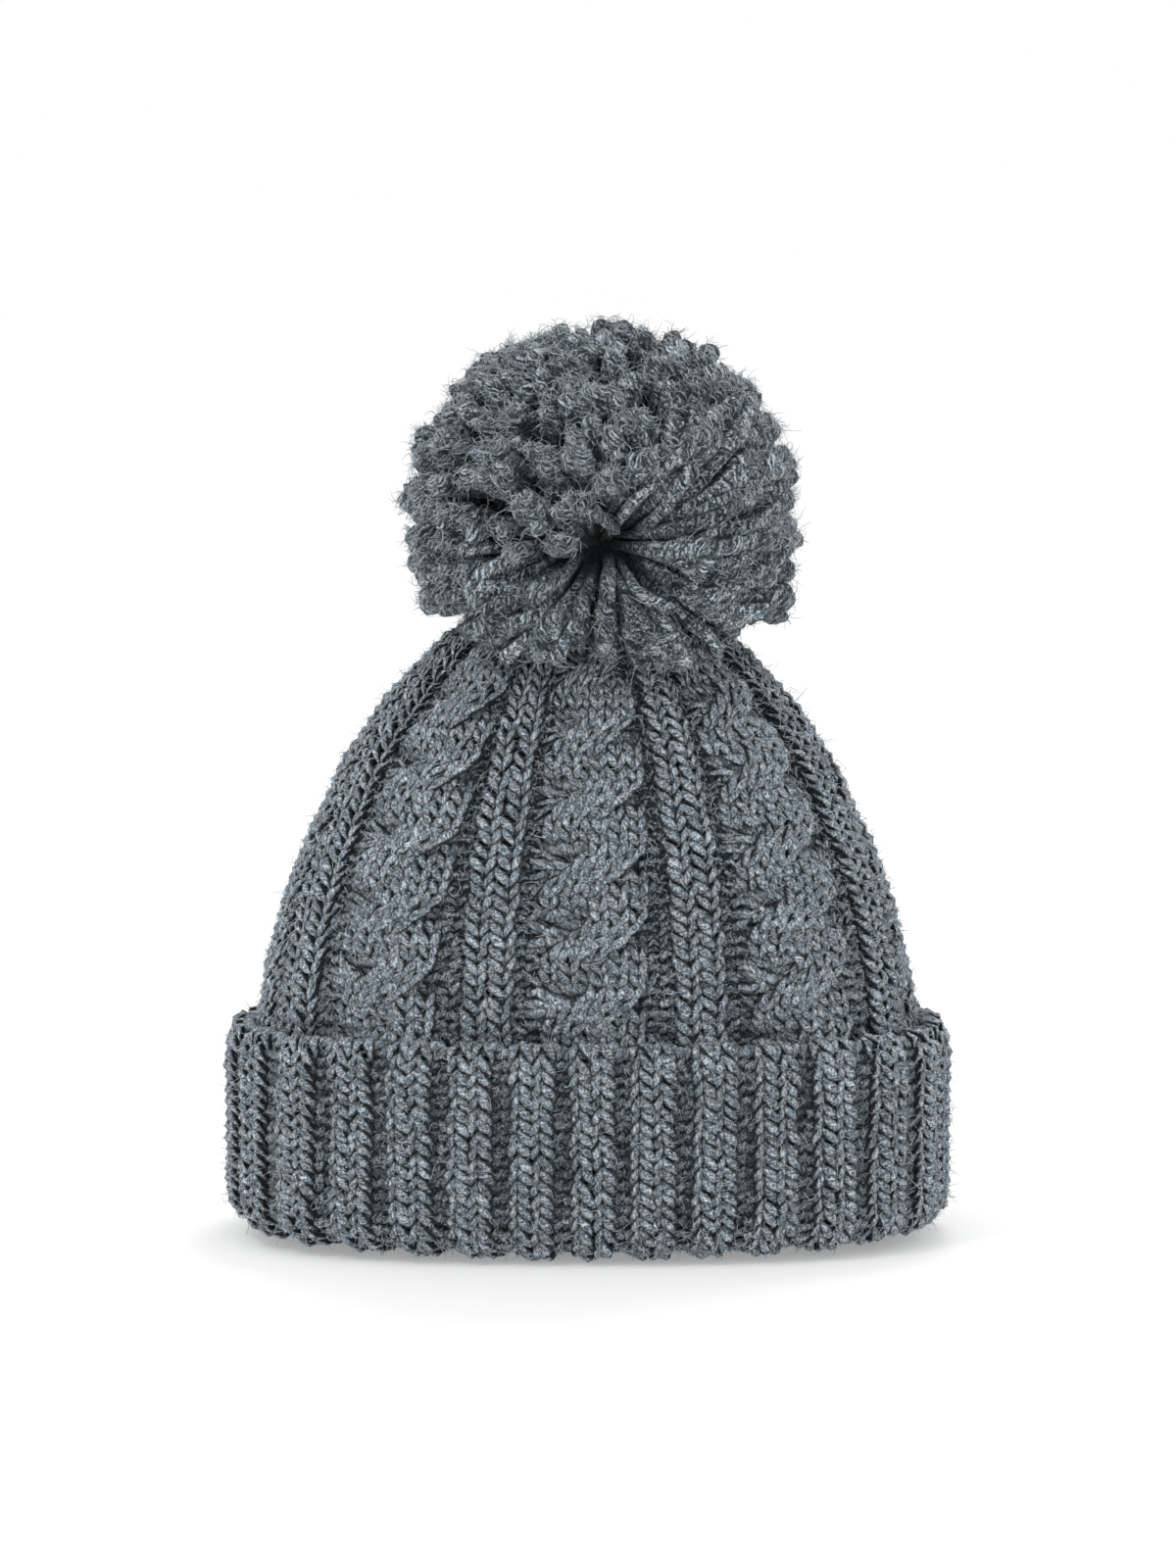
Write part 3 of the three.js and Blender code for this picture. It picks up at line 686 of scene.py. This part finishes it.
# the tie's tails through the gather, and the knot that holds them
P, R, U = plied(np.column_stack([np.zeros(14), np.zeros(14), np.linspace(168.5, 185.4, 14)]), 1.0, 1.1, 2, 2.7)
tube_piece("anchor_tails", P, R, U, 8, SEAM_MAT, "tie", "seam_yarn", "anchor_tie", seed=25)
a = np.linspace(0.25, 2 * PI - 0.25, 60)
knot = np.column_stack([(2.0 + np.cos(3 * a)) * np.cos(2 * a) * 1.08, (2.0 + np.cos(3 * a)) * np.sin(2 * a) * 1.08, 165.2 + 2.3 * np.sin(3 * a)])
P, R, U = plied(knot, 0.35, 0.85, 2, 9)
tube_piece("anchor_knot_yarn", P, R, U, 7, SEAM_MAT, "tie", "seam_yarn", "anchor_knot", seed=26)

# wraps of yarn at the pompom's neck, and the tie round its waist
a = np.linspace(0, 2 * PI * 4.4, 108)
P, R, U = plied(np.column_stack([2.9 * np.cos(a), 2.9 * np.sin(a), np.linspace(183.7, 189.4, 108)]), 0.3, 0.66, 2, 30)
tube_piece("neck_wraps", P, R, U, 6, SEAM_MAT, "neck", "seam_yarn", "neck_wrap", seed=27)
a = np.linspace(0, 2 * PI * 2.9, 80)
P, R, U = plied(np.column_stack([5.6 * np.cos(a), 5.6 * np.sin(a), np.linspace(196.2, 198.8, 80)]), 0.3, 0.66, 2, 24)
tube_piece("waist_tie_wraps", P, R, U, 6, SEAM_MAT, "pompom", "seam_yarn", "pompom_waist_tie", seed=28)


# ------------------------------------------------------------------ pompom
POM_C = np.array([3.4, 0.0, 206.3]); POM_R = 55.0
DIMPLE = np.array([0.03, -0.985, -0.11]); DIMPLE /= np.linalg.norm(DIMPLE)
CORE = np.array([4.0, -9.0, 201.0])


def pompom_strands(count=1650, T=14, seed=5):
    r = np.random.default_rng(seed)
    i = np.arange(count) + 0.5
    ph = np.arccos(1 - 2 * i / count); th = PI * (1 + 5 ** 0.5) * i
    e = np.column_stack([np.cos(th) * np.sin(ph), np.sin(th) * np.sin(ph), np.cos(ph)])
    e += r.normal(0, 0.05, e.shape); e /= np.linalg.norm(e, axis=1, keepdims=True)
    ang = np.arccos(np.clip(e @ DIMPLE, -1, 1))
    # which way round the dimple an end lies, seen from the front: 0 right, 90 up, 180 left, -90 down
    alpha = np.degrees(np.arctan2(e[:, 2] - DIMPLE[2] * np.cos(ang), e[:, 0] - DIMPLE[0] * np.cos(ang)))
    d = np.abs((alpha - 128 + 180) % 360 - 180)          # away from the upper left
    long_w = sstep((d - 40) / 40.0)
    hang = sstep((-e[:, 1] - 0.42) / 0.16)               # in front of the crown, so free to hang
    keep = (e[:, 2] > -0.58 - 0.20 * hang)
    down = sstep((80 - np.abs((alpha + 90 + 180) % 360 - 180)) / 50.0)
    near = 0.15 + (0.62 - 0.30 * down) * long_w * r.uniform(0.5, 1.15, count)
    keep &= ang > near
    keep &= ~((np.abs((alpha - 183 + 180) % 360 - 180) < 9) & (ang < 0.8))      # the parting
    keep &= ~((down * hang > 0.4) & (r.uniform(0, 1, count) < 0.36))
    e, ang, long_w, alpha, hang, down = (q[keep] for q in (e, ang, long_w, alpha, hang, down)); n = len(e)
    # the cut ends gather in small tufts, some standing out and some sunk back
    tuft = r.normal(0, 1, (430, 3)); tuft /= np.linalg.norm(tuft, axis=1, keepdims=True)
    mate = np.argmax(e @ tuft.T, axis=1)
    e = e + 0.38 * (tuft[mate] - e); e /= np.linalg.norm(e, axis=1, keepdims=True)
    R = POM_R * (1 + np.clip(r.normal(0, 0.034, n) + r.normal(0, 0.030, 430)[mate], -0.13, 0.035))
    R *= 1 - 0.14 * r.uniform(0, 1, n) * down * hang
    R *= 1 - 0.05 * np.clip(e[:, 2] - 0.55, 0, 1) * (e[:, 0] < 0) - 0.02 * sstep((e[:, 2] - 0.86) / 0.1)
    R *= 1 - 0.025 * (np.abs(e[:, 2] + 0.05) < 0.3) * np.abs(e[:, 0])
    end = POM_C + e * R[:, None]
    # the lower sides spread a little, more on the right
    spread = np.clip((-0.22 - e[:, 2]) / 0.25, 0, 1) * (1 - hang)
    end[:, 0] += spread * np.where(e[:, 0] > 0, 4.5, -2.0) * np.abs(e[:, 0])
    # the lowest strands at the front hang over the crown's shoulder
    front = hang * np.clip((0.12 - e[:, 2]) / 0.45, 0, 1)
    end[:, 2] -= front * 3.0
    # the sides stop above the shoulder
    low = 177.5 + 2.5 * sstep((np.abs(e[:, 0]) - 0.4) / 0.2) * (1 - hang) - hang * 14.0
    end[:, 2] = np.maximum(end[:, 2], low + r.uniform(0, 6.0, n))
    shoulder = np.interp(end[:, 2], CROWN[:, 0], CROWN[:, 2]) * np.sqrt(np.clip(1 - (end[:, 0] / np.interp(end[:, 2], CROWN[:, 0], CROWN[:, 1])) ** 2, 0.0, 1))
    over = (end[:, 2] < 184.0) & (end[:, 1] < -12)
    end[:, 1] = np.where(over, np.minimum(end[:, 1], -(shoulder + 5.5)), end[:, 1])
    start = CORE + e * 5.0 + r.normal(0, 1.8, (n, 3))
    # long strands leave the dimple forwards and then lie back over the surface
    push = (6.0 + 30.0 * long_w) * np.exp(-((ang - 0.98) / 0.62) ** 2) + 14.0 * down * np.exp(-((ang - 0.4) / 0.25) ** 2)
    ctrl = (start + end) / 2 + DIMPLE * push[:, None] + r.normal(0, 2.4, (n, 3))
    ctrl[:, 2] += 5.0 * front
    tl = np.concatenate([np.linspace(0.0, 0.88, T - 4), [0.93, 0.965, 0.988, 1.0]])      # closer towards the rounded end
    t = tl[None, :, None]
    P = (1 - t) ** 2 * start[:, None] + 2 * t * (1 - t) * ctrl[:, None] + t ** 2 * end[:, None]
    # yarn keeps the memory of its ply: a soft waviness
    tt = tl[None, :]
    w1 = r.normal(0, 1, (n, 3)); w2 = r.normal(0, 1, (n, 3)); f = r.uniform(4, 8, (n, 1)); p0 = r.uniform(0, 6.28, (n, 1))
    P = P + (np.sin(tt * f + p0) * tt)[..., None] * w1[:, None] * 0.85 + (np.cos(tt * f * 1.9 + p0) * tt)[..., None] * w2[:, None] * 0.6
    base = np.interp(tl, [0, .25, .6, .84, .93, .965, .988, 1.0], [0.9, 1.35, 1.8, 2.4, 2.75, 2.65, 2.1, 0.9])
    rad = base[None, :] * (1 + r.normal(0, .11, (n, 1))) * (1 + r.normal(0, 0.05, (n, T)))
    up = np.cross(P[:, 1] - P[:, 0], r.normal(0, 1, (n, 3)))
    up /= np.linalg.norm(up, axis=1, keepdims=True)
    # how deep in the bundle a point lies, for painted shade: points further in are painted darker
    dist = np.linalg.norm(P - POM_C, axis=2)
    round_dimple = np.arccos(np.clip(((P - POM_C) @ DIMPLE) / np.maximum(dist, 1e-6), -1, 1))
    hidden = 36.5 - 16.5 * np.exp(-(round_dimple / 0.55) ** 2)      # the dimple opens the bundle further in
    depth_shade = np.clip((dist - hidden) / 18.0, 0.02, 1.0) ** 2.0
    return P, rad, up, depth_shade, tl


PP, PR, PU, PD, PT = pompom_strands()
K_s = 8
pv, pq, pn, pa = tube_arrays(PP, PR, K_s, PU, seed=31, twist=0.55, depth_shade=PD)
# tufted ends: every strand is roughened, more towards its cut end
r = np.random.default_rng(32)
n_s, T_s = PP.shape[0], PP.shape[1]
rough = np.interp(PT, [0, .5, .85, .95, 1], [0.10, 0.20, 0.34, 0.26, 0.16])
pv = pv + (r.normal(0, 1, (n_s, T_s, K_s, 3)) * rough[None, :, None, None]).reshape(-1, 3)
# painted shade: how far each point looks outwards, for strands that lie along the surface; points facing into the
# bundle are painted darker, ends seen end-on stay light
out_n = PP - POM_C; out_n /= np.linalg.norm(out_n, axis=2, keepdims=True)
tan_n = np.gradient(PP, axis=1); tan_n /= np.linalg.norm(tan_n, axis=2, keepdims=True)
axial = np.abs((tan_n * out_n).sum(2))[:, :, None]
cosp = ((pv.reshape(n_s, T_s, K_s, 3) - PP[:, :, None, :]) * out_n[:, :, None, :]).sum(-1) / PR[:, :, None]
pa["crest_shade"] = ((1 - axial) * (cosp + 0.08) + axial * 0.95).reshape(-1)


def split_tubes(name, v, q, ng, at, n_tubes, per_tube, parts, body, slot, mat, *nodes):
    """Writes tubes out as several pieces of like size."""
    qn = len(q) // n_tubes
    cuts = np.linspace(0, n_tubes, parts + 1).astype(int)
    for k in range(parts):
        lo, hi = cuts[k], cuts[k + 1]
        sub = {key: val[lo * per_tube:hi * per_tube] for key, val in at.items()}
        caps = np.concatenate([ng[:n_tubes][lo:hi], ng[n_tubes:][lo:hi]]) - lo * per_tube
        # quads are laid out tube by tube
        ob = make_mesh(f"{name}_{k + 1}", v[lo * per_tube:hi * per_tube], q[lo * qn:hi * qn] - lo * per_tube, caps, attrs=sub)
        finish_piece(ob, body, slot, mat, *nodes)


split_tubes("pompom_strands", pv, pq, pn, pa, n_s, T_s * K_s, 2, "pompom", "pompom_yarn", POM_MAT, "pompom_yarn")


def pom_core():
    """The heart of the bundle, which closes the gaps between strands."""
    nu, nv = 72, 36
    th = np.arange(nu) * 2 * PI / nu
    prof = []
    for k in range(nv):
        p = PI * (k + 0.5) / nv
        prof.append((np.sin(p), np.cos(p)))
    r = np.random.default_rng(33)
    V = []
    for sp, cp in prof:
        d = np.column_stack([sp * np.cos(th), sp * np.sin(th), np.full(nu, cp)])
        ang = np.arccos(np.clip(d @ DIMPLE, -1, 1))
        rad = 41.0 - 22.0 * np.exp(-(ang / 0.34) ** 2) + r.normal(0, 0.9, nu)
        v = POM_C + d * rad[:, None]
        floor = 187.4 + 0.21 * np.maximum(np.hypot(v[:, 0], v[:, 1]) - 8.0, 0)      # coned, so that it clears the crown when it leans
        v[:, 2] = np.maximum(v[:, 2], floor)
        V.append(v)
    V = np.concatenate(V)
    idx = np.arange(nv)[:, None] * nu + np.arange(nu)[None, :]
    a = idx[:-1]; b = np.roll(idx, -1, 1)[:-1]; d = idx[1:]; c = np.roll(idx, -1, 1)[1:]
    q = np.stack([a, d, c, b], -1).reshape(-1, 4)
    ng = np.stack([idx[0], idx[-1][::-1]])
    return make_mesh("pompom_core", V, q, ng, attrs={"yarn": V * 0.9, "tone": r.uniform(0, 1, len(V)), "depth_shade": np.full(len(V), 0.05), "crest_shade": np.ones(len(V))})


# painted shade: the core is given the darker yarn
finish_piece(pom_core(), "pompom", "pompom_yarn", CORE_SHADE_MAT)


# ------------------------------------------------------------------ loose fibres
def fibres(name, roots, dirs, lengths, radius, body, slot, seed):
    """Fine curled hairs, each a closed three-sided tube."""
    r = np.random.default_rng(seed)
    n = len(roots); T = 4
    side = np.cross(dirs, r.normal(0, 1, (n, 3)))
    side /= np.maximum(np.linalg.norm(side, axis=1, keepdims=True), 1e-9)
    third = np.cross(dirs, side)
    t = np.linspace(0, 1, T)
    curl = r.normal(0.55, 0.35, n); wave = r.normal(0, 0.22, n)
    P = (roots[:, None, :] + lengths[:, None, None] * (t[None, :, None] * dirs[:, None, :] * (1 - 0.35 * t[None, :, None])
         + (t ** 2)[None, :, None] * side[:, None, :] * curl[:, None, None]
         + (np.sin(t * 4.2))[None, :, None] * third[:, None, :] * wave[:, None, None]))
    P[..., 2] = np.maximum(P[..., 2], 0.3)
    R = radius * np.interp(t, [0, .2, .8, 1], [1.0, 1.0, 0.8, 0.35])[None, :] * (1 + r.normal(0, .15, (n, 1)))
    arr = tube_arrays(P, R, 3, side, seed=seed)
    ob = make_mesh(name, *arr[:3], attrs=arr[3])
    return finish_piece(ob, body, slot, POM_FUZZ_MAT if body == "pompom" else FUZZ_MAT)


def cloth_fibres(name, body, n, seed):
    r = np.random.default_rng(seed)
    P = np.concatenate([q[0] for q in FUZZ_ROOTS[body]]); R = np.concatenate([q[1] for q in FUZZ_ROOTS[body]]); N = np.concatenate([q[2] for q in FUZZ_ROOTS[body]])
    i = r.integers(0, len(P), n)
    tang = np.cross(N[i], r.normal(0, 1, (n, 3)))
    tang /= np.maximum(np.linalg.norm(tang, axis=1, keepdims=True), 1e-9)
    d = N[i] * r.uniform(0.15, 0.9, (n, 1)) + tang
    d /= np.linalg.norm(d, axis=1, keepdims=True)
    length = np.clip(r.lognormal(0.75, 0.45, n), 0.9, 6.0)
    fibres(name, P[i] + N[i] * R[i][:, None] * 0.75 + r.normal(0, .25, (n, 3)), d, length, 0.10, body, "knit_yarn", seed)


cloth_fibres("crown_fuzz_1", "crown", 9500, 51)
cloth_fibres("crown_fuzz_2", "crown", 9500, 55)
cloth_fibres("cuff_fuzz_1", "cuff", 9000, 52)
cloth_fibres("cuff_fuzz_2", "cuff", 5000, 56)


def pompom_fibres(name, n, seed, tips):
    r = np.random.default_rng(seed)
    s_i = r.integers(0, len(PP), n)
    t_i = r.integers(PP.shape[1] - 4, PP.shape[1], n) if tips else r.integers(int(PP.shape[1] * 0.45), PP.shape[1], n)
    p = PP[s_i, t_i]; q = PP[s_i, t_i - 1]
    ax = p - q; ax /= np.linalg.norm(ax, axis=1, keepdims=True)
    rd = np.cross(ax, r.normal(0, 1, (n, 3))); rd /= np.maximum(np.linalg.norm(rd, axis=1, keepdims=True), 1e-9)
    if tips:
        d = ax * r.uniform(0.5, 1.3, (n, 1)) + rd * r.uniform(0.2, 1.0, (n, 1))
        root = p + rd * PR[s_i, t_i][:, None] * r.uniform(0.5, 0.9, (n, 1)); length = r.uniform(2.0, 4.4, n)
    else:
        d = rd * r.uniform(0.2, 0.9, (n, 1)) + ax * r.normal(0.2, 0.9, (n, 1))
        root = p + rd * PR[s_i, t_i][:, None] * 0.8; length = np.clip(r.lognormal(1.15, 0.42, n), 1.5, 8.0)
    d /= np.linalg.norm(d, axis=1, keepdims=True)
    fibres(name, root, d, length * 0.95, 0.105, "pompom", "pompom_yarn", seed)


pompom_fibres("pompom_tip_fuzz", 9500, 53, True)
pompom_fibres("pompom_fuzz_1", 9500, 54, False)
pompom_fibres("pompom_fuzz_2", 9500, 57, False)


# ------------------------------------------------------------------ label
def label_material():
    m = bpy.data.materials.new("label_satin"); m.use_nodes = True
    nt = m.node_tree; nt.nodes.clear(); N = lambda t: nt.nodes.new(t); L = nt.links.new
    out = N("ShaderNodeOutputMaterial"); b = N("ShaderNodeBsdfPrincipled"); L(b.outputs[0], out.inputs[0])
    b.inputs["Roughness"].default_value = 0.55; b.inputs["Sheen Weight"].default_value = 0.25
    tc = N("ShaderNodeTexCoord")
    w = N("ShaderNodeTexWave"); w.wave_type = "BANDS"; w.bands_direction = "X"; w.inputs["Scale"].default_value = 900; w.inputs["Distortion"].default_value = 0.6
    w2 = N("ShaderNodeTexWave"); w2.wave_type = "BANDS"; w2.bands_direction = "Z"; w2.inputs["Scale"].default_value = 700; w2.inputs["Distortion"].default_value = 0.6
    L(tc.outputs["Object"], w.inputs["Vector"]); L(tc.outputs["Object"], w2.inputs["Vector"])
    mu = N("ShaderNodeMath"); mu.operation = "MULTIPLY"; L(w.outputs["Fac"], mu.inputs[0]); L(w2.outputs["Fac"], mu.inputs[1])
    rp = N("ShaderNodeValToRGB"); rp.color_ramp.elements[0].color = (*srgb(196, 193, 184), 1); rp.color_ramp.elements[1].color = (*srgb(232, 230, 222), 1)
    L(mu.outputs[0], rp.inputs["Fac"]); L(rp.outputs[0], b.inputs["Base Color"])
    bp = N("ShaderNodeBump"); bp.inputs["Strength"].default_value = 0.3; bp.inputs["Distance"].default_value = 0.0002
    L(mu.outputs[0], bp.inputs["Height"]); L(bp.outputs[0], b.inputs["Normal"])
    return m


LABEL_MAT = label_material()


def label_mesh():
    w, l, th = 34.0, 45.0, 0.45
    nx, nz = 28, 36
    x = np.linspace(-w / 2, w / 2, nx); z = np.linspace(92.0 - l, 92.0, nz)
    xx, zzz = np.meshgrid(x, z)
    hang = (92.0 - zzz) / l
    y = 36.3 - 0.55 * np.sin(xx / w * PI * 1.4 + 0.4) * hang - 0.7 * hang ** 2
    f = np.stack([xx, y - th / 2, zzz], -1).reshape(-1, 3)
    b = np.stack([xx, y + th / 2, zzz], -1).reshape(-1, 3)
    V = np.concatenate([f, b]); n = nx * nz
    idx = np.arange(n).reshape(nz, nx)
    q = np.stack([idx[:-1, :-1], idx[:-1, 1:], idx[1:, 1:], idx[1:, :-1]], -1).reshape(-1, 4)
    qb = q[:, ::-1] + n
    def side(e):
        return np.stack([e[:-1], e[:-1] + n, e[1:] + n, e[1:]], -1)
    qs = [q, qb, side(idx[0]), side(idx[-1][::-1]), side(idx[::-1, 0]), side(idx[:, -1])]
    return make_mesh("care_label_cloth", V, np.concatenate(qs))


label_ob = label_mesh()
label_ob.data.materials.append(LABEL_MAT)
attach(label_ob, "label"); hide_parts("care_label")
P = []
for x in np.arange(-16.0, 16.1, 1.6):
    t = np.linspace(-1, 1, 6)
    P.append(np.column_stack([x + t * 0.55, 36.4 - 0.5 + 0 * t + 0.5 * t ** 2, 94.1 + t * 1.1]))
P = np.array(P)
tube_piece("label_stitches", P, np.full(P.shape[:2], 0.32), np.tile([0, -1.0, 0], (len(P), 1)), 6, LABEL_MAT, "crown", "label_fabric", seed=41)
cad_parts["label_stitching"].data.materials.clear()
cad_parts["label_stitching"].data.materials.append(LABEL_MAT)


# ------------------------------------------------------------------ floor, light and camera
def stage_material():
    m = bpy.data.materials.new("pale_floor"); m.use_nodes = True
    b = m.node_tree.nodes["Principled BSDF"]
    # a lit table: part of its white is its own, so the shade at the hat's foot stays light
    b.inputs["Base Color"].default_value = (0.70, 0.70, 0.70, 1); b.inputs["Roughness"].default_value = 0.9
    b.inputs["Emission Color"].default_value = (1, 1, 1, 1); b.inputs["Emission Strength"].default_value = 0.30
    b.inputs["Specular IOR Level"].default_value = 0.0
    return m


me = bpy.data.meshes.new("floor")
me.from_pydata([(-6, -6, -0.0006), (6, -6, -0.0006), (6, 6, -0.0006), (-6, 6, -0.0006)], [], [(0, 1, 2, 3)])
floor = bpy.data.objects.new("floor", me); scene.collection.objects.link(floor)
floor.data.materials.append(stage_material())

world = bpy.data.worlds.new("studio"); scene.world = world; world.use_nodes = True
bg = world.node_tree.nodes["Background"]; bg.inputs[0].default_value = (1, 1, 1, 1); bg.inputs[1].default_value = 1.0


def area(name, loc, aim, size, power):
    li = bpy.data.lights.new(name, "AREA"); li.shape = "DISK"; li.size = size; li.energy = power
    ob = bpy.data.objects.new(name, li); scene.collection.objects.link(ob)
    ob.location = loc
    ob.rotation_euler = (Vector(aim) - Vector(loc)).to_track_quat("-Z", "Y").to_euler()
    return ob


area("key", (-0.8, -0.9, 1.5), (0, 0, 0.12), 0.4, 5)
area("top", (0.2, 0.6, 1.6), (0, 0, 0.1), 0.5, 6)

cam_d = bpy.data.cameras.new("cam"); cam = bpy.data.objects.new("cam", cam_d); scene.collection.objects.link(cam)
DIST, ELEV = 1.7, math.radians(7.0)
AIM = Vector((0.0, 0.0, 0.1295))
cam.location = AIM + Vector((0, -DIST * math.cos(ELEV), DIST * math.sin(ELEV)))
cam.rotation_euler = (AIM - cam.location).to_track_quat("-Z", "Y").to_euler()
cam_d.sensor_fit = "VERTICAL"; cam_d.sensor_height = 36.0
cam_d.lens = 36.0 * DIST / 0.4488
scene.camera = cam
scene.view_settings.view_transform = "Standard"
